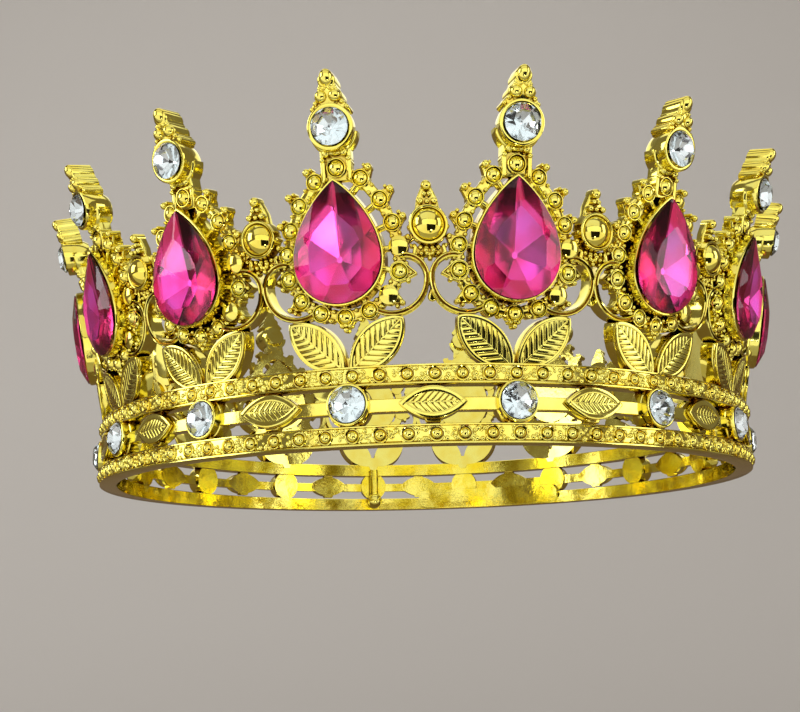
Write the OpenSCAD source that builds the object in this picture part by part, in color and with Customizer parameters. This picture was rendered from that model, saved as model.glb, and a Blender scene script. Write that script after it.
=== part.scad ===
// Full-round crown: a pierced band that carries a ring of gem-set spires.
// Millimetres. Z is up, the band rests on z = 0 and the middle of the front faces -Y.

/* [Ring] */
// Outside diameter of the band's rails
base_d = 130; // [128:1:140]
// Number of spires round the ring
spires = 16; // [8:1:16]
// Outward lean of the spires, in degrees from vertical
lean = 11; // [4:1:16]

/* [Band] */
// Height of the band
band_h = 12; // [11.5:0.5:13]
// Radial thickness of the rails
rail_t = 3.2; // [2.8:0.1:3.6]
// Height of each rail
rail_h = 3; // [2.9:0.1:3.2]
// Height of the plain strip between the rails
strip_h = 2; // [1.5:0.1:2.5]
// Radial thickness of the plain strip
strip_t = 1.8; // [1.2:0.1:2.2]
// Diameter of the round ridge along each rail
ridge_d = 1.4; // [1:0.1:1.8]
// Outside diameter of a round stone cup on the band
band_cup_d = 6.7; // [6.5:0.1:7]
// How far a stone cup stands out from the rails
band_cup_out = 0.6; // [0.4:0.1:1.4]
// Length of a leaf boss on the band
boss_leaf_l = 10.4; // [9:0.1:11]
// Width of a leaf boss on the band
boss_leaf_w = 5.1; // [4:0.1:5.6]
// How far a leaf boss sits back from the rails' face
boss_leaf_back = 0.2; // [0.1:0.1:0.6]
// Height of the band's stones and leaf bosses above the base
boss_z = 6.25; // [6:0.05:6.5]

/* [Stones] */
// Width of a pear stone
pear_w = 13.3; // [12.8:0.1:13.4]
// Length of a pear stone
pear_l = 18.4; // [18:0.1:18.6]
// Diameter of the round stone on a spike
spike_stone_d = 5.7; // [5.2:0.1:5.8]
// Diameter of a round stone in the band
band_stone_d = 5.5; // [5:0.1:5.6]
// Clearance round a stone in its pocket
stone_gap = 0.05; // [0.02:0.01:0.1]
// Height of a stone's crown above its girdle
crown_h = 1.2; // [1:0.1:1.4]
// Thickness of a stone's girdle
girdle_h = 0.3; // [0.2:0.1:0.5]

/* [Spire] */
// Offset of the pear stone along the ring from the middle of its spire
pear_x = -0.25; // [-0.4:0.05:0.4]
// Height of the pear's round centre above the band, along the lean
pear_y = 16.75; // [16.6:0.05:16.9]
// Wall of the pear bezel
bezel_wall = 0.6; // [0.55:0.05:0.7]
// Depth of the pear bezel
bezel_h = 4.3; // [3.8:0.1:4.6]
// Depth of a pear stone, from its point at the back to its table
pear_depth = 4.7; // [4.5:0.1:5]
// Depth of a round stone, from its point at the back to its table
round_depth = 2.9; // [2.7:0.1:3.1]
// Diameter of the cups round the pear
cup_d = 2.7; // [2.6:0.1:2.8]
// Depth of the cups round the pear
cup_h = 2.4; // [2:0.1:2.8]
// Diameter of the beads in the cups
bead_d = 1.8; // [1.6:0.1:2.2]
// Depth of the leaves above the band
leaf_h = 3; // [2.4:0.1:3.4]
// Radius of a C-scroll's tight upper turn, to the middle of its wire
scroll_top_r = 3.25; // [3.2:0.05:3.3]
// Radius of a C-scroll's wide lower turn, to the middle of its wire
scroll_low_r = 5.45; // [5.4:0.05:5.5]
// Width of a C-scroll's wire
scroll_w = 0.9; // [0.8:0.1:1.1]
// Depth of a C-scroll's wire
scroll_h = 2.8; // [2:0.1:3]
// Width of the spike's stem
stem_w = 4.9; // [4:0.1:5.4]
// Outside diameter of the spike's round bezel
spike_bezel_d = 7; // [6.9:0.1:7.2]
// Depth of the spike's round bezel
spike_bezel_h = 5.1; // [4.6:0.1:5.4]
// Height of the spike's stone above the band, along the lean
spike_stone_y = 36.5; // [36.3:0.1:36.7]
// Height of the spike's tip bead above the band, along the lean
tip_y = 43.7; // [43.4:0.1:44]

/* [Dome and finial] */
// Diameter of the dome between two spires
dome_d = 5; // [4.4:0.1:5.2]
// Outside diameter of the dome's cup
dome_cup_d = 6.2; // [5.8:0.1:6.3]
// Height of the dome above the band, along the lean
dome_y = 21.45; // [21.3:0.05:21.6]
// Height of the finial's tip bead above the band, along the lean
finial_y = 27.4; // [27:0.1:27.8]

/* [Rear closure] */
// Length of the splice plate along the inside of the band
splice_l = 38; // [25:1:45]
// Height of the splice plate
splice_h = 4.6; // [3:0.1:5]
// Thickness of the splice plate
splice_t = 0.9; // [0.6:0.1:1.2]
// Diameter of the stud's ball end
stud_ball_d = 3.8; // [3:0.1:4]
// Diameter of the stud's stem
stud_stem_d = 2.2; // [1.6:0.1:2.6]

/* [Hidden] */
$fn = 64;
pitch = 360 / spires;
rail_r = base_d / 2;
inner_r = rail_r - rail_t;
band_mid_z = band_h / 2;
// depth of the ornament over which a width along the panel becomes an angle
panel_depth = 4;
// the floor under a pear stone and under a spike's stone
floor_h = 1;
spike_floor_h = 3.5;
// the overlap that joins two solids
bite = 0.2;
pear_tip = pear_l - pear_w / 2;
// the shape of the pear's sides, between a round end and a point
pear_flare = 1.9;
pear_close = 0.9;
// a grown pear's tip moves further than its sides, because the tip is sharp
tip_growth = 1.3;
// middles of the seven cups on one side of the pear, from the top down
side_cups = [
    [3.7, 29.2], [6.5, 25.75], [8.2, 22.05], [9, 18.45], [8.85, 14.65], [7, 11.2], [3.8, 9.15]
];
top_cup = [0, 30.85];
bottom_cup = [0, 8.25];
// the two cups on the right-hand side that end in a flat disc
flat_cups = [3, 5];
// the peg from a cup's middle into the pear bezel's wall
peg_l = 3;
// middle of a C-scroll's upper turn, and the angles at which its two turns end
scroll_middle = [9.8, 13.75];
scroll_top_end = 100;
scroll_low_end = -118;
leaf_foot = [0.45, 0.1];
leaf_top = [9, 7.8];
leaf_w = 6;
// how blunt a leaf's two ends are: 1 is a pointed almond
leaf_blunt = 0.78;
// the lug behind each leaf's top that carries the scroll
lug_d = 2;
lug_h = 1.8;
lug_place = [7.3, 7.7];
stem_y = 28.9;
// the crest's steps, from the lowest: height up the lean, half width, end radius and depth
crest_steps = [[39.5, 2.75, 1, 4.9], [41.15, 2.1, 1.2, 5.3], [43.35, 1.35, 1.3, 5.6]];
tip_bead_d = 2.2;
pair_bead_d = 1.9;
pair_x = 1.02;
pair_y = 41.05;
finial_w = 3.8;
finial_h = 2.4;
finial_bead_d = 1.7;
band_floor_r = rail_r - 1.6;
splice_z = 0.3;
stud_angle = 180 + pitch / 2;

function numbered(name, i) = str(name, i < 10 ? "_0" : "_", i);
function unit_angle(i) = (i - 0.5) * pitch;
// the angle round the ring of a point x along the panel and y up the lean
function x_angle(x, y) = x / (inner_r + y * sin(lean) + panel_depth) * 180 / PI;
function leaf_side(t, length, width) =
    [(t - 0.5) * length, width / 2 * pow(4 * t * (1 - t), leaf_blunt)];
function leaf_points(length, width, n = 20) =
    let (half = [for (i = [1 : n - 1]) leaf_side(i / n, length, width)])
    concat(
        [[-length / 2, 0]],
        [for (p = half) [p[0], -p[1]]],
        [[length / 2, 0]],
        [for (i = [n - 2 : -1 : 0]) half[i]]
    );
function pear_side(t, half_w, tip) =
    [half_w * pow(1 - pow(t, pear_flare), pear_close), tip * t];
function pear_points(grow) =
    let (half_w = pear_w / 2 + grow, tip = pear_tip + tip_growth * grow, n = 10)
    concat(
        [for (a = [180 : 15 : 360]) half_w * [cos(a), sin(a)]],
        [for (i = [1 : n]) pear_side(i / n, half_w, tip)],
        [for (i = [n - 1 : -1 : 1]) let (p = pear_side(i / n, half_w, tip)) [-p[0], p[1]]]
    );

// Places its children on the leaning panel: x along the ring, y up the lean, z outward.
module on_panel(unit, x, y) {
    rotate([0, 0, unit + x_angle(x, y)])
        translate([0, -inner_r, band_h])
            rotate([90 + lean, 0, 0])
                translate([0, y, 0])
                    children();
}

// Places its children on the upright band at the height of its stones: z outward from radius r.
module on_band(angle, r) {
    rotate([0, 0, angle])
        translate([0, -r, boss_z])
            rotate([90, 0, 0])
                children();
}

module pear(grow, h) {
    linear_extrude(height = h)
        polygon(pear_points(grow));
}

// A leaf boss, and the web behind it that ties it to both rails.
module boss_leaf(h) {
    web_w = 3;
    web_h = band_h - 2 * rail_h + 4 * bite;
    arc_r = (boss_leaf_l * boss_leaf_l + boss_leaf_w * boss_leaf_w) / (4 * boss_leaf_w);
    linear_extrude(height = h)
        intersection() {
            translate([0, arc_r - boss_leaf_w / 2]) circle(r = arc_r);
            translate([0, boss_leaf_w / 2 - arc_r]) circle(r = arc_r);
        }
    translate([-web_w / 2, -web_h / 2, 0])
        cube([web_w, web_h, h - 0.6]);
}

// A round stone on its flat back: pavilion, girdle and crown.
module round_stone(d, depth) {
    pavilion_h = depth - crown_h - girdle_h;
    cylinder(d1 = d * 0.5, d2 = d, h = pavilion_h);
    translate([0, 0, pavilion_h])
        cylinder(d = d, h = girdle_h);
    translate([0, 0, pavilion_h + girdle_h])
        cylinder(d1 = d, d2 = d * 0.55, h = crown_h);
}

module pear_cut(depth) {
    slab = 0.02;
    hull() {
        pear(-2.6, slab);
        translate([0, 0, depth - crown_h - girdle_h])
            pear(-stone_gap, girdle_h);
        translate([0, 0, depth - slab])
            pear(-2.4, slab);
    }
}

module rail(z) {
    translate([0, 0, z])
        rotate_extrude() {
            translate([inner_r, 0]) square([rail_t, rail_h]);
            translate([rail_r, rail_h / 2]) circle(d = ridge_d);
        }
}

module strip() {
    translate([0, 0, band_mid_z - strip_h / 2])
        rotate_extrude()
            translate([inner_r + (rail_t - strip_t) / 2, 0])
                square([strip_t, strip_h]);
}

module band() {
    cup_from = inner_r + bite;
    color("gold")
        difference() {
            union() {
                rail(0);
                rail(band_h - rail_h);
                strip();
                for (i = [1 : spires]) {
                    on_band(unit_angle(i), cup_from)
                        cylinder(d = band_cup_d, h = rail_r + band_cup_out - cup_from);
                    on_band(unit_angle(i) + pitch / 2, cup_from)
                        boss_leaf(rail_r - boss_leaf_back - cup_from);
                }
            }
            for (i = [1 : spires])
                on_band(unit_angle(i), band_floor_r)
                    cylinder(d = band_stone_d + 2 * stone_gap, h = rail_r);
        }
}

// A cup with a bead, or with a flat disc, and the peg that ties it to the bezel.
module cup(unit, place, flat_top) {
    rise = place[1] - pear_y;
    pull = rise > 0 ? [-sign(place[0]) * pear_w / 2, 0] : [0, 0];
    toward = pull - [place[0], rise];
    on_panel(unit, place[0], place[1]) {
        cylinder(d = cup_d, h = flat_top ? cup_h + bead_d / 3 : cup_h);
        if (!flat_top) translate([0, 0, cup_h]) sphere(d = bead_d);
        rotate([0, 0, atan2(toward[1], toward[0])])
            translate([0, -cup_d / 6, 0])
                cube([peg_l, cup_d / 3, cup_h * 0.7]);
    }
}

module cup_ring(unit) {
    cup(unit, top_cup, false);
    cup(unit, bottom_cup, false);
    for (i = [0 : len(side_cups) - 1]) {
        cup(unit, side_cups[i], len(search(i, flat_cups)) > 0);
        cup(unit, [-side_cups[i][0], side_cups[i][1]], false);
    }
}

module wire_turn(r, from, to) {
    rotate([0, 0, from])
        rotate_extrude(angle = to - from)
            translate([r - scroll_w / 2, 0])
                square([scroll_w, scroll_h]);
}

// A tight upper turn and a wide lower turn, which meet where the scroll is widest.
module c_scroll(unit, side) {
    on_panel(unit, side * scroll_middle[0], scroll_middle[1])
        mirror([side < 0 ? 1 : 0, 0, 0]) {
            wire_turn(scroll_top_r, 0, scroll_top_end);
            translate([scroll_top_r - scroll_low_r, 0, 0])
                wire_turn(scroll_low_r, scroll_low_end, 0);
        }
}

// The two scrolls, cut flat where they meet the neighbouring spires.
module scrolls(unit) {
    reach = 2 * base_d;
    half_w = reach * tan(pitch / 2);
    intersection() {
        for (side = [-1, 1]) c_scroll(unit, side);
        rotate([0, 0, unit])
            linear_extrude(height = base_d)
                polygon([[0, 0], [-half_w, -reach], [half_w, -reach]]);
    }
}

// The leaf pair and its foot, cut flat where they stand on the band.
module leaves(unit) {
    run = leaf_top - leaf_foot;
    foot_w = 3.6;
    difference() {
        union() {
            for (side = [-1, 1])
                on_panel(unit, side * (leaf_foot[0] + leaf_top[0]) / 2, (leaf_foot[1] + leaf_top[1]) / 2)
                    rotate([0, 0, side * atan2(run[1], run[0])])
                        linear_extrude(height = leaf_h)
                            polygon(leaf_points(norm(run), leaf_w));
            for (side = [-1, 1])
                on_panel(unit, side * lug_place[0], lug_place[1])
                    cylinder(d = lug_d, h = lug_h);
            on_panel(unit, 0, -1)
                translate([-foot_w / 2, 0, 0])
                    cube([foot_w, 2, leaf_h]);
        }
        translate([0, 0, band_h - rail_h])
            cylinder(r = base_d, h = rail_h);
    }
}

module crest_step(y, half_w, r, h) {
    translate([0, y, 0])
        linear_extrude(height = h) {
            square([2 * (half_w - r), 2 * r], center = true);
            for (side = [-1, 1])
                translate([side * (half_w - r), 0])
                    circle(r = r);
        }
}

// The stem, the stone's deep cup, and a crest that narrows in steps to the tip.
module spike(unit) {
    on_panel(unit, 0, 0) {
        translate([-stem_w / 2, stem_y, 0])
            cube([stem_w, spike_stone_y - stem_y, cup_h + bite]);
        translate([0, spike_stone_y, 0])
            cylinder(d = spike_bezel_d, h = spike_bezel_h);
        for (step = crest_steps) crest_step(step[0], step[1], step[2], step[3]);
        for (side = [-1, 1])
            translate([side * pair_x, pair_y, crest_steps[1][3] - bite])
                sphere(d = pair_bead_d);
        translate([0, tip_y, crest_steps[2][3] - bite])
            sphere(d = tip_bead_d);
    }
}

// The domed boss and finial at the right-hand edge of a spire, and the bar that ties it on.
module dome(unit) {
    edge = unit + pitch / 2;
    tie = side_cups[3];
    reach = rail_r * PI / spires + 1 - tie[0];
    on_panel(edge, 0, 0) {
        translate([0, dome_y, 0])
            cylinder(d = dome_cup_d, h = cup_h + bite);
        translate([0, dome_y, cup_h - dome_d / 6])
            sphere(d = dome_d);
        translate([0, dome_y, 0])
            linear_extrude(height = finial_h)
                polygon([
                    [-finial_w / 2, 0], [finial_w / 2, 0],
                    [finial_w / 4, finial_y - dome_y], [-finial_w / 4, finial_y - dome_y]
                ]);
        translate([0, finial_y, finial_h - bite])
            sphere(d = finial_bead_d);
    }
    on_panel(unit, tie[0], tie[1])
        rotate([0, 0, atan2(dome_y - tie[1], reach)])
            translate([0, -cup_d / 4, 0])
                cube([reach, cup_d / 2, cup_h * 0.7]);
}

module spire(i) {
    unit = unit_angle(i);
    color("gold")
        difference() {
            union() {
                on_panel(unit, pear_x, pear_y) pear(bezel_wall, bezel_h);
                cup_ring(unit);
                scrolls(unit);
                leaves(unit);
                spike(unit);
                dome(unit);
            }
            on_panel(unit, pear_x, pear_y)
                translate([0, 0, floor_h])
                    pear(0, bezel_h);
            on_panel(unit, 0, spike_stone_y)
                translate([0, 0, spike_floor_h])
                    cylinder(d = spike_stone_d + 2 * stone_gap, h = spike_bezel_h);
        }
}

module pear_stone(i) {
    color("deeppink")
        on_panel(unit_angle(i), pear_x, pear_y)
            translate([0, 0, floor_h])
                pear_cut(pear_depth);
}

module spike_stone(i) {
    color("white")
        on_panel(unit_angle(i), 0, spike_stone_y)
            translate([0, 0, spike_floor_h])
                round_stone(spike_stone_d, round_depth);
}

module band_stones() {
    color("white")
        for (i = [1 : spires])
            on_band(unit_angle(i), band_floor_r)
                round_stone(band_stone_d, round_depth);
}

// A ring standing on z that the closure pieces are shaped by.
module tube(r, wall, h) {
    rotate_extrude()
        translate([r, 0])
            square([wall, h]);
}

module rear_splice_plate() {
    span = splice_l / inner_r * 180 / PI;
    end_angle = splice_h / 2 / inner_r * 180 / PI;
    middle_z = splice_z + splice_h / 2;
    color("gold")
        intersection() {
            tube(inner_r - splice_t, splice_t, band_h);
            union() {
                rotate([0, 0, 90 - span + end_angle])
                    translate([0, 0, splice_z])
                        rotate_extrude(angle = span - 2 * end_angle)
                            translate([inner_r - 2 * splice_t, 0])
                                square([3 * splice_t, splice_h]);
                for (a = [180 - span + end_angle, 180 - end_angle])
                    on_band(a, inner_r - 2 * splice_t)
                        translate([0, middle_z - boss_z, 0])
                            cylinder(d = splice_h, h = 3 * splice_t);
            }
        }
}

// A ball-ended stud on the inside of the rails, flat where it is fixed to them.
module rear_stud() {
    ball_z = 0.4 + stud_ball_d / 2;
    stem_h = band_h - rail_h / 2 - ball_z;
    color("gold")
        rotate([0, 0, stud_angle])
            translate([0, -inner_r, ball_z])
                difference() {
                    union() {
                        translate([0, stud_stem_d * 0.4, 0]) cylinder(d = stud_stem_d, h = stem_h);
                        translate([0, stud_ball_d * 0.35, 0]) sphere(d = stud_ball_d);
                    }
                    translate([-stud_ball_d, -stud_ball_d, -stud_ball_d])
                        cube([2 * stud_ball_d, stud_ball_d, stem_h + 2 * stud_ball_d]);
                }
}

band();
for (i = [1 : spires]) {
    spire(i);
    pear_stone(i);
    spike_stone(i);
}
band_stones();
rear_splice_plate();
rear_stud();
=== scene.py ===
"""Full-round crown: gold electroplate, pear-cut magenta stones and round clear stones."""
import math
import random

import bmesh
import bpy
import numpy as np
from mathutils import Matrix, Vector


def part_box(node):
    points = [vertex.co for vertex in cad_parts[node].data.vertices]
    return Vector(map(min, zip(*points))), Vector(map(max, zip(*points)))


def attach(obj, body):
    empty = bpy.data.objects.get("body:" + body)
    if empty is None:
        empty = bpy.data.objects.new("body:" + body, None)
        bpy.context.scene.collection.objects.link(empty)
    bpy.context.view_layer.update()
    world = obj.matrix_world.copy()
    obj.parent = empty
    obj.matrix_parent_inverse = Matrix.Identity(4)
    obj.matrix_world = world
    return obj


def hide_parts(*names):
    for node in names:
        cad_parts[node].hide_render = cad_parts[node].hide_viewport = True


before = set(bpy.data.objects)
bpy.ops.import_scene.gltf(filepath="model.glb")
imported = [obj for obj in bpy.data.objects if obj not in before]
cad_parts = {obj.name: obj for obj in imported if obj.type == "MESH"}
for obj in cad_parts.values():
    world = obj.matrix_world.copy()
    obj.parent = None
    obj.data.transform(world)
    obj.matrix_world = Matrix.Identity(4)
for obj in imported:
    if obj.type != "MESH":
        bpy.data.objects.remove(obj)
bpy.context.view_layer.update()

MM = 0.001
BODY = "root"

# ---------------------------------------------------------------- sizes, in millimetres

SPIRES = sum(name.startswith("spire_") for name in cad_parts)
PITCH = math.tau / SPIRES
LEAN = math.radians(11)
RAIL_T = 3.2
BAND_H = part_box("band")[1][2] / MM
RAIL_R = 65.0
INNER_R = RAIL_R - RAIL_T
BAND_MID = BAND_H / 2
RAIL_H = 3.0
STRIP_H = 2.0
PANEL_DEPTH = 4.0

PEAR_X, PEAR_Y, PEAR_W, PEAR_L = -0.25, 16.75, 13.3, 18.4
PEAR_TIP = PEAR_L - PEAR_W / 2
PEAR_RIM, PEAR_GIRDLE, PEAR_FLOOR = 4.25, 4.45, 1.0
CUP_R, CUP_TOP = 1.42, 2.5
TOP_CUP, BOTTOM_CUP = (0.0, 30.8), (0.0, 8.1)
SIDE_CUPS = [(3.65, 29.0), (6.45, 25.6), (8.15, 22.0), (8.95, 18.4), (8.85, 14.6), (7.0, 11.1), (3.85, 8.95)]
FLAT_CUPS = (3, 5)
SCROLL_MIDDLE, SCROLL_TOP_R, SCROLL_LOW_R = (9.8, 13.75), 3.25, 5.45
SCROLL_TOP_END, SCROLL_LOW_END = math.radians(104), math.radians(-118)
LEAF_FOOT, LEAF_TOP, LEAF_W = (0.45, -0.1), (9.0, 7.7), 6.0
STEM_W = 4.9
SPIKE_Y, SPIKE_RIM, SPIKE_GIRDLE = 36.5, 4.85, 5.05
PAIR_Y, TIP_Y = 41.05, 43.7
DOME_Y = 21.45
FINIAL_Y = 27.4
BOSS_Y = BAND_MID + 0.25
BAND_RIM, BAND_GIRDLE = 3.75, 3.85

CROWN_MIDDLE = (0.0, 0.0, 0.03)
# each soft box, in metres: its place, its size, the brightness of its face, and for some what it points at
# and whether it shows only in reflections
SOFT_BOXES = {
    "front": ((0.1, -1.1, 0.1), (2.0, 0.75), 1.15),
    "window": ((-1.0, -0.25, 0.35), (0.5, 0.6), 4.2),
    "side": ((0.95, -0.35, 0.25), (0.35, 0.7), 2.6),
    "top": ((0.0, 0.1, 1.0), (1.0, 0.6), 0.9),
    "upper_front": ((0.0, -0.8, 0.85), (1.8, 0.9), 0.75, CROWN_MIDDLE, True),
    "upper_back": ((0.0, 0.68, 0.55), (1.8, 0.4), 0.9, CROWN_MIDDLE, True),
    "bounce": ((0.0, -0.7, -0.12), (1.8, 1.14), 0.65, (0.0, -0.7, 1.0), True),
}

# ---------------------------------------------------------------- placing

def on_panel(points, lean=LEAN, base_z=BAND_H):
    """Millimetres along the ring, up the lean and outward, as metres round the crown's axis."""
    u, y, w = np.asarray(points, float).T
    w = w + 0.006 * np.clip(y - 29.0, 0.0, None) ** 2 * (lean > 0)
    r_in = INNER_R + y * math.sin(lean)
    out = r_in + w * math.cos(lean)
    z = base_z + y * math.cos(lean) - w * math.sin(lean)
    angle = u / (r_in + PANEL_DEPTH)
    return np.stack([out * np.sin(angle), -out * np.cos(angle), z], 1) * MM


def unit_angle(i):
    return (i - 0.5) * PITCH


# ---------------------------------------------------------------- relief solids

def arc(cx, cy, r, a, b, n):
    return [(cx + r * math.cos(t), cy + r * math.sin(t)) for t in np.linspace(a, b, n)]


def inset(outline, d):
    """The outline moved inward by d, given counterclockwise."""
    p = np.asarray(outline, float)
    before, after = p - np.roll(p, 1, 0), np.roll(p, -1, 0) - p
    before /= np.linalg.norm(before, axis=1)[:, None]
    after /= np.linalg.norm(after, axis=1)[:, None]
    normal = np.stack([-(before + after)[:, 1], (before + after)[:, 0]], 1)
    length = np.linalg.norm(normal, axis=1)[:, None]
    normal /= length
    return p + normal * d / np.clip(length / 2, 0.45, None)


def taper(a, ra, b, rb, n=9):
    """The outline round two circles, ra at a and rb at b, counterclockwise."""
    a, b = np.asarray(a, float), np.asarray(b, float)
    gap = np.linalg.norm(b - a)
    heading = math.atan2(b[1] - a[1], b[0] - a[0])
    half = math.acos(max(-1.0, min(1.0, (ra - rb) / gap)))
    far = arc(b[0], b[1], rb, heading - half, heading + half, n)
    near = arc(a[0], a[1], ra, heading + half, heading - half + math.tau, n)
    return np.array(far + near)


class Relief:
    """Closed solids gathered into one mesh, in panel millimetres: u along the ring, y up, w outward."""

    def __init__(self):
        self.points, self.faces, self.count = [], [], 0

    def add(self, points, faces):
        self.points.append(np.asarray(points, float))
        self.faces += [tuple(i + self.count for i in f) for f in faces]
        self.count += len(points)

    def stack(self, rings, wrap=False):
        """A solid through rings of equal length: capped at both ends, or closed round on itself."""
        n, m = len(rings[0]), len(rings)
        faces = []
        for j in range(m if wrap else m - 1):
            a, b = j * n, (j + 1) % m * n
            faces += [(a + i, a + (i + 1) % n, b + (i + 1) % n, b + i) for i in range(n)]
        if not wrap:
            faces += [tuple(range(n))[::-1], tuple(range((m - 1) * n, m * n))]
        self.add(np.concatenate(rings), faces)

    def lathe(self, u, y, profile, sides=24, wide=1.0, tall=1.0):
        """A solid of revolution about w. Its profile runs from the middle of its top to that of its foot."""
        a = np.linspace(0, math.tau, sides, endpoint=False)
        points, faces = [(u, y, profile[0][1])], []
        for r, w in profile[1:-1]:
            points += list(np.stack([u + wide * r * np.cos(a), y + tall * r * np.sin(a), a * 0 + w], 1))
        points.append((u, y, profile[-1][1]))
        last = len(points) - 1
        for i in range(sides):
            k = (i + 1) % sides
            faces.append((0, 1 + i, 1 + k))
            for j in range(len(profile) - 3):
                a0, b0 = 1 + j * sides, 1 + (j + 1) * sides
                faces.append((a0 + i, b0 + i, b0 + k, a0 + k))
            foot = 1 + (len(profile) - 3) * sides
            faces.append((foot + i, last, foot + k))
        self.add(points, faces)

    def slab(self, outline, top, foot=0.0, edge=0.15, steps=3):
        """An outline given depth, with a rounded front edge."""
        rings = [np.column_stack([outline, np.full(len(outline), foot)])]
        for t in np.linspace(0, math.pi / 2, steps + 1):
            moved = inset(outline, edge * (1 - math.cos(t)))
            rings.append(np.column_stack([moved, np.full(len(moved), top - edge + edge * math.sin(t))]))
        self.stack(rings)

    def bar(self, a, b, width, top, foot=0.0, edge=0.2):
        """A rounded bar from point a to point b."""
        self.link(a, width / 2, b, width / 2, top, foot, edge, 4)

    def link(self, a, ra, b, rb, top, foot=0.0, edge=0.2, n=7):
        """A tapered web between a circle at a and a circle at b."""
        self.slab(taper(a, ra, b, rb, n), top, foot, edge)

    def sweep(self, path, section):
        """A section of (across, w) points carried along a path of (u, y) points."""
        path = np.asarray(path, float)
        along = np.gradient(path, axis=0)
        along /= np.linalg.norm(along, axis=1)[:, None]
        across = np.stack([along[:, 1], -along[:, 0]], 1)
        rings = []
        for p, s in zip(path, across):
            rings.append(np.array([(p[0] + s[0] * q, p[1] + s[1] * q, w) for q, w in section]))
        self.stack(rings)

    def post(self, u, y, r, top, foot=0.0, sides=16, wide=1.0, tall=1.0):
        """A round-topped post, which shows as a small bead from the front."""
        dome = [(r * math.sin(t), top - r + r * math.cos(t)) for t in np.linspace(0, math.pi / 2, 6)]
        self.lathe(u, y, dome + [(r * 1.05, foot), (0, foot)], sides, wide, tall)

    def mesh(self, name, place, sharp=38):
        mesh = bpy.data.meshes.new(name)
        mesh.from_pydata(place(np.concatenate(self.points)).tolist(), [], self.faces)
        work = bmesh.new()
        work.from_mesh(mesh)
        bmesh.ops.recalc_face_normals(work, faces=work.faces)
        work.to_mesh(mesh)
        work.free()
        mesh.polygons.foreach_set("use_smooth", [True] * len(mesh.polygons))
        mesh.set_sharp_from_angle(angle=math.radians(sharp))
        return mesh


def leaf(relief, foot, tip, width, top, base=0.0, pitch=1.12, rim_w=0.64, blunt=0.78, vein_drop=0.1):
    """A leaf with a flat raised rim round a sunken field, a midrib and flat-topped slanting veins."""
    foot, tip = np.asarray(foot, float), np.asarray(tip, float)
    length = np.linalg.norm(tip - foot)
    along = (tip - foot) / length
    across = np.array([-along[1], along[0]])

    def half(s):
        part = np.clip(s / length, 0, 1)
        return width / 2 * (4 * part * (1 - part)) ** blunt

    def place(s, t):
        return foot + np.multiply.outer(s, along) + np.multiply.outer(t, across)

    s = length * (0.5 - 0.5 * np.cos(np.linspace(0, math.pi, 33)))
    outline = np.concatenate([place(s, -half(s)), place(s, half(s))[-2:0:-1]])
    field = top - 0.55
    levels = [(-0.05, base), (0.0, top - 0.9), (0.08, top - 0.7), (-0.03, top - 0.5), (0.0, top - 0.14),
              (0.04, top - 0.04), (0.12, top), (rim_w - 0.1, top), (rim_w - 0.02, top - 0.05),
              (rim_w, top - 0.2), (rim_w + 0.05, field)]
    rings = []
    for d, w in levels:
        ring = inset(outline, d) if abs(d) > 0.01 else outline
        rings.append(np.column_stack([ring, np.full(len(ring), w)]))
    relief.stack(rings)
    inner = rim_w * 0.8
    relief.bar(place(inner, 0.0), place(length - inner * 1.6, 0.0), 0.36, top - 0.04, field - 0.1, 0.1)
    slant = math.radians(48)
    for side in (-1, 1):
        for start in np.arange(-0.4 * pitch, length - rim_w - 0.9, pitch):
            steps = np.linspace(0.25, 6, 116)
            s, t = start + steps * math.cos(slant), steps * math.sin(slant)
            inside = np.flatnonzero((s > inner) & (s < length) & (t < half(s) - inner))
            if len(inside) > 5:
                ends = [place(s[k], side * t[k]) for k in inside[[0, -1]]]
                relief.bar(*ends, pitch * 0.68, top - vein_drop, field - 0.1, 0.12)


def bead_profile(cup_r, top, lift, rim=0.24):
    """A ball that fills a rimmed cup, from the ball's top to the cup's outer edge."""
    inner = cup_r - rim
    bulge = 1.1 * (inner - 0.06)
    ball = [(bulge * math.sin(t), top + lift - bulge * (1 - math.cos(t))) for t in np.linspace(0, 1.141, 9)]
    lip = [(inner - 0.02, top - 0.42), (inner + 0.03, top - 0.06), (inner + 0.1, top), (cup_r - 0.09, top),
           (cup_r, top - 0.1)]
    return ball + lip


def cup(relief, u, y, foot, flat=False, r=CUP_R, top=CUP_TOP):
    if flat:
        high, bulge = top + 0.6, 3.6
        r += 0.1
        profile = [(bulge * math.sin(t), high - bulge * (1 - math.cos(t))) for t in np.linspace(0, 0.385, 6)]
        profile += [(r - 0.04, high - 0.34), (r, high - 0.45)]
    else:
        profile = bead_profile(r, top, 0.58)
    wall = [(r - 0.07, top - 0.8), (r - 0.02, top - 1.0), (r + 0.05, foot), (0, foot)]
    relief.lathe(u, y, profile + wall, 28)


def pear_outline(grow=0.0, n=24):
    """The pear stone's outline about the middle of its round end, counterclockwise from the right."""
    half, tip = PEAR_W / 2 + grow, PEAR_TIP + 1.3 * grow
    t = np.linspace(0, 1, n + 1)[1:] ** 0.8
    side = [(half * (1 - k ** 1.9) ** 0.9, tip * k) for k in t]
    bottom = arc(0, 0, half, math.pi, math.tau, n + 1)
    return np.array(bottom + side + [(-x, y) for x, y in side[-2::-1]])


# ---------------------------------------------------------------- one spire

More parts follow.
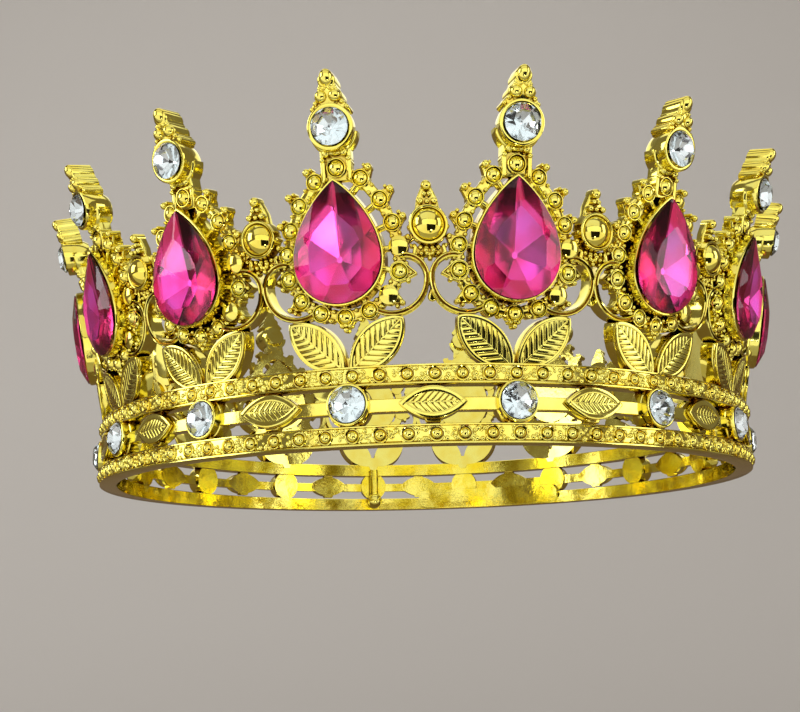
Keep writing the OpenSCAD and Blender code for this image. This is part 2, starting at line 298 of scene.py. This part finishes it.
def spire_relief():
    relief = Relief()
    feet = iter(0.004 * k for k in range(400))
    pear_bezel(relief)
    cup_ring(relief, feet)
    for side in (-1, 1):
        scroll(relief, side)
        foot, tip = (side * LEAF_FOOT[0], LEAF_FOOT[1]), (side * LEAF_TOP[0], LEAF_TOP[1])
        leaf(relief, foot, tip, LEAF_W, 3.0, 0.02)
    relief.bar((0, -0.05), (0, 0.7), 3.0, 2.0, 0.03)
    satellites(relief, feet)
    petals(relief, feet)
    pendant(relief, feet)
    spike(relief, feet)
    dome(relief, feet)
    return relief


def pear_bezel(relief):
    rim = []
    for grow, w in ((0.6, 0.0), (0.52, 1.6), (0.42, 2.0), (0.4, PEAR_RIM - 0.3), (0.36, PEAR_RIM - 0.1),
                    (0.28, PEAR_RIM), (0.12, PEAR_RIM), (0.04, PEAR_RIM - 0.1), (0.02, PEAR_RIM - 1.0),
                    (-2.5, PEAR_FLOOR)):
        outline = pear_outline(grow) + (PEAR_X, PEAR_Y)
        rim.append(np.column_stack([outline, np.full(len(outline), w)]))
    relief.stack(rim)


def cup_ring(relief, feet):
    """The chain of beaded cups round the pear, its webs and the pegs that tie it to the bezel."""
    right = [(x, y) for x, y in SIDE_CUPS]
    left = [(-x, y) for x, y in SIDE_CUPS]
    for k, (x, y) in enumerate(right):
        cup(relief, x, y, next(feet), k in FLAT_CUPS)
    for x, y in left + [BOTTOM_CUP]:
        cup(relief, x, y, next(feet))
    cup(relief, *TOP_CUP, next(feet), r=1.55, top=CUP_TOP + 0.25)
    for run in (right, left):
        chain = [TOP_CUP] + run + [BOTTOM_CUP]
        for a, b in zip(chain, chain[1:]):
            relief.bar(a, b, 1.8, 1.95, next(feet), 0.35)
            middle = (np.array(a) + b) / 2
            inward = np.array([0, PEAR_Y]) - middle
            inward /= np.linalg.norm(inward)
            for shift, r, top in ((0.62, 0.36, 2.5), (-0.72, 0.33, 2.4)):
                relief.post(*(middle + inward * shift), r, top, next(feet), 10)
    for x, y in right + left + [BOTTOM_CUP]:
        rise = y - PEAR_Y
        pull = np.array([-math.copysign(PEAR_W / 2, x), 0.0]) if rise > 0 else np.zeros(2)
        toward = pull - (x, rise)
        toward /= np.linalg.norm(toward)
        relief.bar((x, y), np.array((x, y)) + toward * 2.9, 0.8, 2.35, next(feet), 0.3)


# the wire's left half, across and outward, up to the groove along its middle
WIRE_HALF = [(-0.46, 0.04), (-0.36, 1.9), (-0.43, 2.2), (-0.42, 2.55), (-0.3, 2.68), (-0.17, 2.6),
             (-0.1, 2.2)]
WIRE = WIRE_HALF + [(0.0, 2.12)] + [(-x, w) for x, w in WIRE_HALF[::-1]]


def scroll(relief, side):
    """A grooved wire with a tight upper turn and a wide lower turn."""
    upper = arc(SCROLL_MIDDLE[0], SCROLL_MIDDLE[1], SCROLL_TOP_R, SCROLL_TOP_END, 0, 30)
    low_x = SCROLL_MIDDLE[0] + SCROLL_TOP_R - SCROLL_LOW_R
    lower = arc(low_x, SCROLL_MIDDLE[1], SCROLL_LOW_R, 0, SCROLL_LOW_END, 40)
    relief.sweep([(side * x, y) for x, y in upper + lower[1:]], WIRE)


# beads outside the cups: the cup that each grows from, its place, radius and top
CUP_BEADS = [(0, (4.95, 30.65), 0.6, 2.9), (1, (8.15, 27.15), 0.6, 2.9), (2, (9.85, 22.95), 0.58, 2.8),
             (3, (10.45, 19.75), 0.46, 2.5), (5, (9.0, 9.95), 0.46, 2.7)]
# small beads between them: place, radius and top
SMALL_BEADS = [(9.25, 23.6, 0.34, 2.4), (10.75, 21.2, 0.36, 2.3), (10.9, 18.4, 0.32, 2.3),
               (7.4, 27.6, 0.3, 2.4), (4.3, 31.0, 0.3, 2.5), (1.45, 33.0, 0.56, 2.95),
               (2.1, 31.6, 0.42, 2.7), (2.2, 30.2, 0.4, 2.7), (5.6, 9.5, 0.38, 2.5),
               (8.2, 9.4, 0.36, 2.4), (2.35, 7.75, 0.44, 2.6)]


def satellites(relief, feet):
    """The beads outside the cups, each on a web that tapers out from its cup, mirrored left and right."""
    for cup_at, at, r, top in CUP_BEADS:
        for side in (-1, 1):
            place = (side * at[0], at[1])
            middle = (side * SIDE_CUPS[cup_at][0], SIDE_CUPS[cup_at][1])
            relief.link(middle, CUP_R - 0.1, place, r * 0.95, 1.9, next(feet), 0.3)
            relief.post(*place, r, top, next(feet), 16)
    for x, y, r, top in SMALL_BEADS:
        for side in (-1, 1):
            relief.post(side * x, y, r, top, next(feet), 12)


def petals(relief, feet):
    """The pointed, wire-edged petal that each fifth cup grows, with its small beads."""
    x, y = SIDE_CUPS[4]
    for side in (-1, 1):
        middle, point = (side * x, y), (side * (x + 2.55), y - 0.35)
        outline = taper(middle, CUP_R + 0.22, point, 0.18, 12)
        rings = []
        for shrink, w in ((-0.04, next(feet)), (0.0, 1.7), (0.0, 2.2), (0.08, 2.32), (0.2, 2.32), (0.28, 2.2),
                          (0.32, 1.95)):
            ring = inset(outline, shrink)
            rings.append(np.column_stack([ring, np.full(len(ring), w)]))
        relief.stack(rings)
        relief.post(side * (x + 1.72), y - 0.2, 0.34, 2.55, next(feet), 12)
        relief.post(side * (x + 1.25), y - 1.35, 0.42, 2.5, next(feet), 12)
        relief.post(side * (x + 1.15), y + 1.2, 0.34, 2.4, next(feet), 12)


def pendant(relief, feet):
    """The small beads that hang in a point under the lowest cup."""
    for x, y, r in ((-0.62, 6.85, 0.42), (0.62, 6.85, 0.42), (0.0, 6.2, 0.46), (0.0, 7.0, 0.4)):
        relief.post(x, y, r, 2.5, next(feet), 14)
    relief.link(BOTTOM_CUP, CUP_R, (0, 6.3), 0.4, 1.8, next(feet), 0.3)


def spike(relief, feet):
    """The stem, the stone's deep drafted cup and the stepped crest over it."""
    half = STEM_W / 2
    relief.slab([(-half, 28.9), (half, 28.9), (half, 35.0), (-half, 35.0)], 2.1, next(feet), 0.1)
    for side in (-1, 1):
        relief.bar((side * (half - 0.38), 29.0), (side * (half - 0.38), 34.0), 0.76, 2.75, next(feet), 0.25)
        relief.post(side * 1.4, 33.0, 0.6, 3.5, next(feet))
        relief.post(side * 2.05, 32.1, 0.42, 3.2, next(feet))
    relief.post(0, 33.2, 0.42, 3.3, next(feet))
    rim = SPIKE_RIM
    bezel = [(0, rim - 2.3), (2.5, rim - 2.2), (2.82, rim - 0.35), (2.9, rim - 0.06), (3.04, rim), (3.3, rim),
             (3.44, rim - 0.07), (3.5, rim - 0.25), (3.54, rim - 1.2), (3.5, 2.6), (3.36, 1.4), (3.05, 0.3),
             (2.55, -0.4), (0, -0.4)]
    relief.lathe(0, SPIKE_Y, bezel, 72)
    relief.slab(arc(0, SPIKE_Y - 0.1, 3.8, math.radians(185), math.radians(355), 30), 3.1, next(feet), 0.6, 5)
    crest(relief, feet)


def crest(relief, feet):
    """Three deep rounded steps that narrow to the tip, each with its own beads in front."""
    steps = ((TIP_Y - 0.35, 1.32, 1.3, 4.7), (PAIR_Y + 0.1, 2.1, 1.2, 4.35), (PAIR_Y - 1.55, 2.75, 1.0, 4.1))
    for y, half, r, top in steps:
        reach = half - r + 0.02
        relief.link((-reach, y), r, (reach, y), r, top, next(feet), 0.45, 14)
    relief.link((0, PAIR_Y), 1.75, (0, TIP_Y), 1.0, 4.5, next(feet), 0.4, 12)
    for side in (-1, 1):
        relief.post(side * 1.04, PAIR_Y, 1.0, 5.2, next(feet), 24)
        relief.post(side * 0.42, PAIR_Y + 1.15, 0.36, 4.75, next(feet))
        relief.post(side * 1.1, PAIR_Y + 1.2, 0.38, 4.6, next(feet))
        relief.post(side * 1.98, PAIR_Y - 0.85, 0.42, 4.5, next(feet))
        relief.post(side * 2.6, PAIR_Y - 1.6, 0.4, 4.3, next(feet))
    relief.post(0, TIP_Y, 1.08, 5.35, next(feet), 26, 1.0, 1.24)


def dome(relief, feet):
    """The dome on the spire's right-hand edge, with the finial above it and the bead cluster below."""
    edge = PITCH * (INNER_R + DOME_Y * math.sin(LEAN) + PANEL_DEPTH) / 2
    dome_cup(relief, edge, feet)
    finial(relief, edge, feet)
    bead_cluster(relief, edge, feet)
    relief.link((edge, 11.9), 0.28, (edge, 10.7), 0.75, 1.5, next(feet), 0.2)
    relief.bar(SIDE_CUPS[3], (edge, DOME_Y), 1.1, 1.7, next(feet), 0.2)


def dome_cup(relief, edge, feet):
    """A shallow dome that fills its cup, with a rolled rim round it."""
    bulge, top = 2.9, 4.1
    ball = [(bulge * math.sin(t), top - bulge * (1 - math.cos(t))) for t in np.linspace(0, 0.993, 14)]
    rim = [(2.46, 2.62), (2.52, 2.82), (2.6, 2.95), (2.72, 3.0), (2.88, 3.0), (2.98, 2.92), (3.02, 2.7),
           (2.98, 2.2), (3.04, 2.0)]
    relief.lathe(edge, DOME_Y, ball + rim + [(3.16, next(feet)), (0, 0.1)], 56)


def finial(relief, edge, feet):
    """A tapering plate over the dome, with beads that narrow in rows to the tip."""
    core = [(edge - 2.0, DOME_Y + 2), (edge + 2.0, DOME_Y + 2), (edge + 1.7, DOME_Y + 4.0),
            (edge + 0.75, FINIAL_Y + 0.1), (edge - 0.75, FINIAL_Y + 0.1), (edge - 1.7, DOME_Y + 4.0)]
    relief.slab(core, 1.9, next(feet), 0.35)
    for x, y, r, top in ((-1.12, 3.55, 0.52, 3.1), (0, 3.5, 0.42, 2.9), (1.12, 3.55, 0.52, 3.1),
                         (-0.42, 4.65, 0.4, 2.9), (0.42, 4.65, 0.4, 2.9)):
        relief.post(edge + x, DOME_Y + y, r, top, next(feet), 16)
    relief.post(edge, FINIAL_Y, 0.83, 3.1, next(feet), 22)


def bead_cluster(relief, edge, feet):
    """The rows of small beads under the dome, on the plate that joins the two scrolls' tops."""
    for x, y, r, top in ((-0.6, -3.75, 0.44, 2.1), (0.6, -3.75, 0.44, 2.1), (0, -4.35, 0.4, 1.9)):
        relief.post(edge + x, DOME_Y + y, r, top, next(feet), 16)
    relief.link((edge - 1.7, DOME_Y - 3.9), 0.9, (edge + 1.7, DOME_Y - 3.9), 0.9, 1.3, next(feet), 0.3)
    for row, (y, reach, count) in enumerate(((-3.4, 2.35, 6), (-4.2, 2.25, 6), (-4.95, 1.3, 3))):
        for u in np.linspace(-reach, reach, count):
            relief.post(edge + u, DOME_Y + y - 0.06 * u * u * (row - 1), 0.4, 1.95, next(feet), 12)
    for side in (-1, 1):
        top_end, low_end = (edge + side * 2.2, DOME_Y - 3.2), (edge + side * 2.6, DOME_Y - 5.0)
        relief.bar(top_end, low_end, 0.6, 2.0, next(feet), 0.2)


# ---------------------------------------------------------------- the band

def band_place(points):
    return on_panel(points, lean=0.0, base_z=0.0)


def band_angle_u(angle):
    return angle * (INNER_R + PANEL_DEPTH)


def rail(relief, low, beads, start, rng):
    """One rail round the whole ring: two lips, a row of beads in ringed mounds, and uneven grains between."""
    a = np.linspace(-math.pi, math.pi, 384, endpoint=False)
    t, face = RAIL_T, RAIL_T - 0.2
    section = [(0.0, 0.12), (0.1, 0.0), (t - 0.1, 0.0), (t, 0.06), (t, 0.26), (t - 0.06, 0.34),
               (t - 0.34, 0.42), (face, 0.56), (face + 0.03, RAIL_H / 2), (face, RAIL_H - 0.36),
               (t - 0.12, RAIL_H - 0.3), (t + 0.02, RAIL_H - 0.24), (t + 0.02, RAIL_H - 0.08),
               (t - 0.08, RAIL_H), (0.1, RAIL_H), (0.0, RAIL_H - 0.12)]
    relief.stack([np.stack([band_angle_u(a), a * 0 + low + z, a * 0 + w], 1) for w, z in section], wrap=True)
    step = math.tau / beads
    width = band_angle_u(step)
    middle = low + RAIL_H / 2 + 0.02
    for k in range(beads):
        u = band_angle_u(start + k * step)
        top = t + 0.55
        ball = [(0.86 * math.sin(q), top - 0.86 + 0.86 * math.cos(q)) for q in np.linspace(0, 1.45, 8)]
        mound = [(0.92, t - 0.12), (0.98, t + 0.03), (1.08, t + 0.08), (1.18, t + 0.01), (1.25, face - 0.04),
                 (1.27, face - 0.3)]
        relief.lathe(u, middle, ball + mound + [(0, face - 0.3)], 20)
        for j in range(17):
            across, up = rng.uniform(0.5, width - 0.5), rng.uniform(-1.08, 1.14)
            r = rng.uniform(0.24, 0.46)
            gap = min(math.hypot(across, up), math.hypot(across - width, up))
            if gap > 1.02 + 0.5 * r:
                rise = r * rng.uniform(0.45, 0.85)
                lump = [(r * math.sin(q), face + rise * math.cos(q)) for q in np.linspace(0, 1.5, 4)]
                lump += [(r, face - 0.1), (0, face - 0.1)]
                relief.lathe(u + across, middle + up * (1.3 - r * 0.7) / 1.14, lump, 9)


def boss_relief():
    """One stone cup, the leaf to its right and the stretches of plain strip that join them, for the band."""
    relief = Relief()
    rim = BAND_RIM
    bezel = [(0, 1.1), (2.3, 1.2), (2.76, rim - 0.3), (2.84, rim - 0.05), (2.94, rim), (3.04, rim),
             (3.16, rim - 0.08), (3.22, rim - 0.3), (3.26, 2.4), (3.44, 2.3), (3.5, 2.1), (3.5, 0.25),
             (0, 0.25)]
    relief.lathe(0, BOSS_Y, bezel, 64)
    step = band_angle_u(PITCH)
    low, high = BAND_MID - STRIP_H / 2, BAND_MID + STRIP_H / 2
    section = [(low, 0.7), (low, 2.4), (low + 0.1, 2.5), (high - 0.1, 2.5), (high, 2.4), (high, 0.7)]
    relief.stack([np.array([(u, y, w) for y, w in section]) for u in np.linspace(2.9, step - 2.9, 25)])
    u = step / 2
    leaf(relief, (u - 5.2, BOSS_Y), (u + 5.2, BOSS_Y), 4.95, RAIL_T, 0.7, 0.95, 0.95, 0.9, 0.12)
    for side in (-1, 1):
        relief.bar((u, BOSS_Y), (u, BOSS_Y + side * 1.1), 4.2, RAIL_T - 0.95, 0.8, 0.2)
        relief.bar((0, BOSS_Y + side * 3.1), (0, BOSS_Y + side * 3.5), 3.2, RAIL_T - 0.5, 0.7, 0.2)
    return relief


# ---------------------------------------------------------------- stones

def cut_stone(name, outline, tiers, crown_h, depth):
    """A prism cut by flat facets, with its girdle at w = 0 and its point at -depth below the origin.

    Each tier is (count, turn, (scale, height), (scale, height)): its planes pass through the outline scaled
    about the origin at both heights. Material 0 is the table, 1 the foiled back and 2 the crown's facets."""
    relief = Relief()
    relief.stack([np.column_stack([outline, np.full(len(outline), z)]) for z in (-depth * 0.94, crown_h)])
    mesh = bpy.data.meshes.new(name)
    mesh.from_pydata(np.concatenate(relief.points).tolist(), [], relief.faces)
    work = bmesh.new()
    work.from_mesh(mesh)
    bmesh.ops.recalc_face_normals(work, faces=work.faces)
    outline = np.asarray(outline)
    for count, turn, (s0, h0), (s1, h1) in tiers:
        for k in range(count):
            a = math.tau * (k + turn) / count
            n = np.array([math.cos(a), math.sin(a)])
            reach = (outline @ n).max()
            rise, run = h1 - h0, (s0 - s1) * reach
            sign = 1 if rise > 0 else -1
            normal = Vector((n[0] * abs(rise), n[1] * abs(rise), sign * run))
            at = Vector((n[0] * reach * s0, n[1] * reach * s0, h0))
            parts = work.verts[:] + work.edges[:] + work.faces[:]
            cut = bmesh.ops.bisect_plane(work, geom=parts, plane_co=at, plane_no=normal,
                                         clear_outer=True, dist=1e-5)
            edges = [e for e in cut["geom_cut"] if isinstance(e, bmesh.types.BMEdge)]
            if edges:
                bmesh.ops.contextual_create(work, geom=edges)
    bmesh.ops.recalc_face_normals(work, faces=work.faces)
    for face in work.faces:
        face.material_index = 1 if face.normal.z < -0.05 else 0 if face.normal.z > 0.99 else 2
        face.smooth = False
    work.to_mesh(mesh)
    work.free()
    return mesh


def pear_mesh():
    depth, crown_h, edge = PEAR_GIRDLE - PEAR_FLOOR - 0.1, 1.2, 0.12
    tiers = [(8, 0.0, (1.0, edge), (0.60, crown_h)), (16, 0.5, (1.0, edge), (0.68, crown_h)),
             (8, 0.5, (0.64, crown_h), (0.92, 0.62)),
             (8, 0.0, (1.0, -edge), (0.0, -depth)), (16, 0.5, (1.0, -edge), (0.2, -depth))]
    return cut_stone("pear_stone", pear_outline(0.0, 20), tiers, crown_h, depth)


def round_mesh(name, d):
    outline = arc(0, 0, d / 2, 0, math.tau, 65)[:-1]
    depth, crown_h, edge = 2.2, 0.95, 0.08
    tiers = [(8, 0.0, (1.0, edge), (0.56, crown_h)), (16, 0.5, (1.0, edge), (0.66, crown_h)),
             (8, 0.5, (0.60, crown_h), (0.88, 0.5)),
             (8, 0.0, (1.0, -edge), (0.0, -depth)), (16, 0.5, (1.0, -edge), (0.25, -depth))]
    return cut_stone(name, outline, tiers, crown_h, depth)


# ---------------------------------------------------------------- materials

def new_material(name):
    material = bpy.data.materials.new(name)
    material.use_nodes = True
    nodes, links = material.node_tree.nodes, material.node_tree.links
    return material, nodes, links, nodes["Principled BSDF"]


def gold_material():
    """Bright lemon electroplate, faintly rippled, warmer in patches, with painted brown shade in its crevices
    from an ambient occlusion mask.
    """
    material, nodes, links, shader = new_material("gold_electroplate")
    shader.inputs["Metallic"].default_value = 1.0
    place = nodes.new("ShaderNodeTexCoord")
    patch = nodes.new("ShaderNodeTexNoise")
    patch.inputs["Scale"].default_value = 260.0
    patch.inputs["Detail"].default_value = 3.0
    links.new(place.outputs["Object"], patch.inputs["Vector"])
    tint = nodes.new("ShaderNodeValToRGB")
    tint.color_ramp.elements[0].position = 0.3
    tint.color_ramp.elements[0].color = (0.86, 0.70, 0.10, 1)
    tint.color_ramp.elements[1].position = 0.62
    tint.color_ramp.elements[1].color = (0.90, 0.83, 0.19, 1)
    links.new(patch.outputs["Fac"], tint.inputs["Fac"])
    # painted shade: an ambient occlusion mask darkens the gold to brown in crevices and recesses, where shade
    # falls
    crevice = nodes.new("ShaderNodeAmbientOcclusion")
    crevice.samples = 6
    crevice.inputs["Distance"].default_value = 0.0013
    open_air = nodes.new("ShaderNodeMapRange")
    open_air.inputs["From Min"].default_value = 0.16
    open_air.inputs["From Max"].default_value = 0.66
    links.new(crevice.outputs["AO"], open_air.inputs["Value"])
    # the painted crevice shade colour, mixed in where the occlusion mask is low
    painted_crevice_shade = nodes.new("ShaderNodeMix")
    painted_crevice_shade.data_type = "RGBA"
    painted_crevice_shade.inputs["A"].default_value = (0.36, 0.20, 0.018, 1)
    links.new(open_air.outputs["Result"], painted_crevice_shade.inputs["Factor"])
    links.new(tint.outputs["Color"], painted_crevice_shade.inputs["B"])
    links.new(painted_crevice_shade.outputs["Result"], shader.inputs["Base Color"])
    gloss = nodes.new("ShaderNodeMapRange")
    gloss.inputs["From Min"].default_value = 0.35
    gloss.inputs["From Max"].default_value = 0.75
    gloss.inputs["To Min"].default_value = 0.06
    gloss.inputs["To Max"].default_value = 0.16
    links.new(patch.outputs["Fac"], gloss.inputs["Value"])
    links.new(gloss.outputs["Result"], shader.inputs["Roughness"])
    ripple = nodes.new("ShaderNodeTexNoise")
    ripple.inputs["Scale"].default_value = 900.0
    ripple.inputs["Detail"].default_value = 2.0
    links.new(place.outputs["Object"], ripple.inputs["Vector"])
    bump = nodes.new("ShaderNodeBump")
    bump.inputs["Strength"].default_value = 0.25
    bump.inputs["Distance"].default_value = 0.00006
    links.new(ripple.outputs["Fac"], bump.inputs["Height"])
    links.new(bump.outputs["Normal"], shader.inputs["Normal"])
    return material


def glass_material(name, colour, ior):
    """Cut glass, with a slight drift in its colour and faint handling wear that dulls it in patches."""
    material, nodes, links, shader = new_material(name)
    shader.inputs["IOR"].default_value = ior
    shader.inputs["Transmission Weight"].default_value = 1.0
    place = nodes.new("ShaderNodeTexCoord")
    drift = nodes.new("ShaderNodeTexNoise")
    drift.inputs["Scale"].default_value = 220.0
    drift.inputs["Detail"].default_value = 3.0
    links.new(place.outputs["Object"], drift.inputs["Vector"])
    tint = nodes.new("ShaderNodeValToRGB")
    tint.color_ramp.elements[0].position = 0.35
    tint.color_ramp.elements[0].color = (*[0.96 * c for c in colour], 1)
    tint.color_ramp.elements[1].position = 0.65
    tint.color_ramp.elements[1].color = (*colour, 1)
    links.new(drift.outputs["Fac"], tint.inputs["Fac"])
    links.new(tint.outputs["Color"], shader.inputs["Base Color"])
    wear = nodes.new("ShaderNodeMapRange")
    wear.inputs["From Min"].default_value = 0.4
    wear.inputs["From Max"].default_value = 0.75
    wear.inputs["To Min"].default_value = 0.0
    wear.inputs["To Max"].default_value = 0.04
    links.new(drift.outputs["Fac"], wear.inputs["Value"])
    links.new(wear.outputs["Result"], shader.inputs["Roughness"])
    return material


def foil_material(name, dark, light, roughness=0.1):
    """The mirror backing under a stone, with a slight drift in its colour."""
    material, nodes, links, shader = new_material(name)
    shader.inputs["Metallic"].default_value = 1.0
    shader.inputs["Roughness"].default_value = roughness
    place = nodes.new("ShaderNodeTexCoord")
    drift = nodes.new("ShaderNodeTexNoise")
    drift.inputs["Scale"].default_value = 180.0
    links.new(place.outputs["Object"], drift.inputs["Vector"])
    tint = nodes.new("ShaderNodeValToRGB")
    tint.color_ramp.elements[0].position = 0.35
    tint.color_ramp.elements[0].color = (*dark, 1)
    tint.color_ramp.elements[1].position = 0.65
    tint.color_ramp.elements[1].color = (*light, 1)
    links.new(drift.outputs["Fac"], tint.inputs["Fac"])
    links.new(tint.outputs["Color"], shader.inputs["Base Color"])
    return material


GOLD = gold_material()
PEAR_GLASS = glass_material("pear_glass", (0.97, 0.22, 0.78), 1.42)
PEAR_EDGE_GLASS = glass_material("pear_edge_glass", (0.68, 0.12, 0.24), 1.42)
PEAR_FOIL = foil_material("pear_foil", (0.95, 0.28, 0.50), (1.0, 0.56, 0.92), 0.16)
CLEAR_GLASS = glass_material("clear_glass", (0.95, 0.99, 1.0), 1.45)
CLEAR_FOIL = foil_material("clear_foil", (0.80, 0.87, 0.89), (0.89, 0.93, 0.94), 0.1)


# ---------------------------------------------------------------- pieces

def piece(name, mesh, materials, nodes, turn=0.0):
    """One visible piece, which rides on the crown and stands for the named CAD nodes."""
    obj = bpy.data.objects.new(name, mesh)
    bpy.context.scene.collection.objects.link(obj)
    if not mesh.materials:
        for material in materials:
            mesh.materials.append(material)
    obj.rotation_euler.z = turn
    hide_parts(*nodes)
    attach(obj, BODY)
    return obj


def seat(u, y, w, lean=LEAN, base_z=BAND_H, spin=0.0):
    """The matrix that sets a flat stone, in metres, on the panel at (u, y) and depth w."""
    point = on_panel([(u, y, w)], lean, base_z)[0]
    tilted = Matrix.Rotation(math.pi / 2 + lean, 4, "X") @ Matrix.Rotation(spin, 4, "Z")
    return Matrix.Translation(point) @ tilted


def placed(mesh, matrix, name):
    copy = mesh.copy()
    copy.name = name
    copy.transform(matrix @ Matrix.Scale(MM, 4))
    return copy


def make_spires():
    mesh = spire_relief().mesh("spire", on_panel)
    for i in range(1, SPIRES + 1):
        piece(f"spire_casting_{i:02d}", mesh, [GOLD], [f"spire_{i:02d}"], unit_angle(i))


def make_band():
    rng = random.Random(7)
    for name, low, beads in (("lower", 0.0, 98), ("upper", BAND_H - RAIL_H, 99)):
        relief = Relief()
        rail(relief, low, beads, 0.006, rng)
        piece(f"band_rail_{name}", relief.mesh(f"rail_{name}", band_place), [GOLD], ["band"])
    bosses = boss_relief().mesh("band_boss", band_place)
    for i in range(1, SPIRES + 1):
        piece(f"band_boss_{i:02d}", bosses, [GOLD], ["band"], unit_angle(i))


def make_stones():
    rng = random.Random(11)
    pear = placed(pear_mesh(), seat(PEAR_X, PEAR_Y, PEAR_GIRDLE), "pear_cut")
    spike_cut = round_mesh("spike_cut", 5.66)
    band_cut = round_mesh("band_cut", 5.5)
    pear_materials = [PEAR_GLASS, PEAR_FOIL, PEAR_EDGE_GLASS]
    clear_materials = [CLEAR_GLASS, CLEAR_FOIL, CLEAR_GLASS]
    for i in range(1, SPIRES + 1):
        turn = unit_angle(i)
        piece(f"pear_cut_{i:02d}", pear, pear_materials, [f"pear_stone_{i:02d}"], turn)
        spike_seat = seat(0.0, SPIKE_Y, SPIKE_GIRDLE, spin=rng.uniform(0, math.tau))
        band_seat = seat(0.0, BOSS_Y, BAND_GIRDLE, 0.0, 0.0, rng.uniform(0, math.tau))
        for kind, cut, place, node in (("spike", spike_cut, spike_seat, f"spike_stone_{i:02d}"),
                                       ("band", band_cut, band_seat, "band_stones")):
            name = f"{kind}_cut_{i:02d}"
            piece(name, placed(cut, place, name), clear_materials, [node], turn)


def dress_closure():
    for name in ("rear_splice_plate", "rear_stud"):
        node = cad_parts[name]
        node.data.materials.clear()
        node.data.materials.append(GOLD)


# ---------------------------------------------------------------- the studio

def make_camera():
    """A phone's view from a little below the rim, tilted up, with the crown held in front of the lens."""
    distance, aim_z, side = 217.2, 28.1, -4.4
    up_tilt, roll = math.radians(12.89), math.radians(-1.46)
    data = bpy.data.cameras.new("camera")
    data.sensor_width = 36.0
    data.lens = 45.54
    data.clip_start = 0.01
    camera = bpy.data.objects.new("camera", data)
    bpy.context.scene.collection.objects.link(camera)
    back = Vector((0, -math.cos(up_tilt), -math.sin(up_tilt)))
    right = (-back).cross(Vector((0, 0, 1))).normalized()
    up = right.cross(-back)
    x = right * math.cos(roll) + up * math.sin(roll)
    y = up * math.cos(roll) - right * math.sin(roll)
    at = (back * distance + Vector((side, 0, aim_z))) * MM
    turned = Matrix.Rotation(math.radians(-0.28), 4, "Z")
    camera.matrix_world = turned @ Matrix.Translation(at) @ Matrix((x, y, back)).transposed().to_4x4()
    bpy.context.scene.camera = camera
    return camera


def area(name, at, size, radiance, target=CROWN_MIDDLE, mirrored_only=False):
    """A soft box, hidden from the camera, whose face has the given brightness."""
    data = bpy.data.lights.new(name, "AREA")
    data.shape = "RECTANGLE"
    data.size, data.size_y = size
    data.energy = radiance * math.pi * size[0] * size[1]
    light = bpy.data.objects.new(name, data)
    light.location = at
    light.rotation_euler = (Vector(target) - Vector(at)).to_track_quat("-Z", "Y").to_euler()
    light.visible_camera = False
    light.visible_diffuse = not mirrored_only
    bpy.context.scene.collection.objects.link(light)


def flat_material(name, colour, roughness=0.9):
    material, nodes, links, shader = new_material(name)
    shader.inputs["Base Color"].default_value = (*colour, 1)
    shader.inputs["Roughness"].default_value = roughness
    shader.inputs["Specular IOR Level"].default_value = 0.2
    return material


def sweep_mesh(name, front_y, top_z, lift, material):
    """A floor from front_y that curves up into a wall of height top_z, lifted by the given distance."""
    floor_z, wall_y, curve, half = -0.13 + lift, 0.75 - lift, 0.35, 1.6
    profile = [(front_y, floor_z), (wall_y - curve, floor_z)]
    profile += [(wall_y - curve + curve * math.sin(t), floor_z + curve * (1 - math.cos(t)))
                for t in np.linspace(0.1, math.pi / 2, 14)]
    profile.append((wall_y, top_z))
    points = [(x, y, z) for x in (-half, half) for y, z in profile]
    n = len(profile)
    mesh = bpy.data.meshes.new(name)
    mesh.from_pydata(points, [], [(i, i + 1, n + i + 1, n + i) for i in range(n - 1)])
    mesh.polygons.foreach_set("use_smooth", [True] * (n - 1))
    mesh.materials.append(material)
    return mesh


def stage_piece(name, mesh, mirrored_only=False):
    obj = bpy.data.objects.new(name, mesh)
    bpy.context.scene.collection.objects.link(obj)
    if mirrored_only:
        obj.visible_camera = False
        obj.visible_diffuse = False
        obj.visible_shadow = False
    return obj


def make_stage():
    """A pale sweep, and over it a brown cloth that only the polished metal and the stones mirror."""
    paper = flat_material("sweep_paper", (0.72, 0.70, 0.67))
    cloth = flat_material("mirrored_cloth", (0.26, 0.19, 0.13))
    stage_piece("sweep", sweep_mesh("sweep", -1.4, 1.6, 0.0, paper))
    stage_piece("mirrored_cloth", sweep_mesh("mirrored_cloth", -0.02, 0.33, 0.004, cloth), True)


def make_world():
    world = bpy.data.worlds.new("studio")
    world.use_nodes = True
    bpy.context.scene.world = world
    world.node_tree.nodes["Background"].inputs["Color"].default_value = (0.32, 0.27, 0.22, 1)
    world.node_tree.nodes["Background"].inputs["Strength"].default_value = 0.6


def make_flags(camera):
    """The dark shapes of the camera and of the hand below it, which the metal and the stones mirror."""
    cloth = flat_material("flag_cloth", (0.01, 0.008, 0.006))
    held = camera.matrix_world @ Matrix.Translation((0.075, -0.035, 0.01))
    below = Matrix.Translation((0.018, -0.122, -0.049))
    for name, size, place in (("camera_flag", (0.2, 0.13), held), ("hand_flag", (0.022, 0.02), below)):
        mesh = bpy.data.meshes.new(name)
        corners = [(x * size[0] / 2, y * size[1] / 2, 0) for x, y in ((-1, -1), (1, -1), (1, 1), (-1, 1))]
        mesh.from_pydata(corners, [], [(0, 1, 2, 3)])
        mesh.materials.append(cloth)
        stage_piece(name, mesh, True).matrix_world = place


def make_studio(camera):
    make_world()
    make_stage()
    make_flags(camera)
    for name, box in SOFT_BOXES.items():
        area(name, *box)
    area("lamp", camera.matrix_world @ Vector((0.06, -0.076, 0.0)), (0.014, 0.014), 30.0)
    bpy.context.scene.view_settings.view_transform = "Standard"


CAMERA = make_camera()
make_spires()
make_band()
make_stones()
dress_closure()
make_studio(CAMERA)
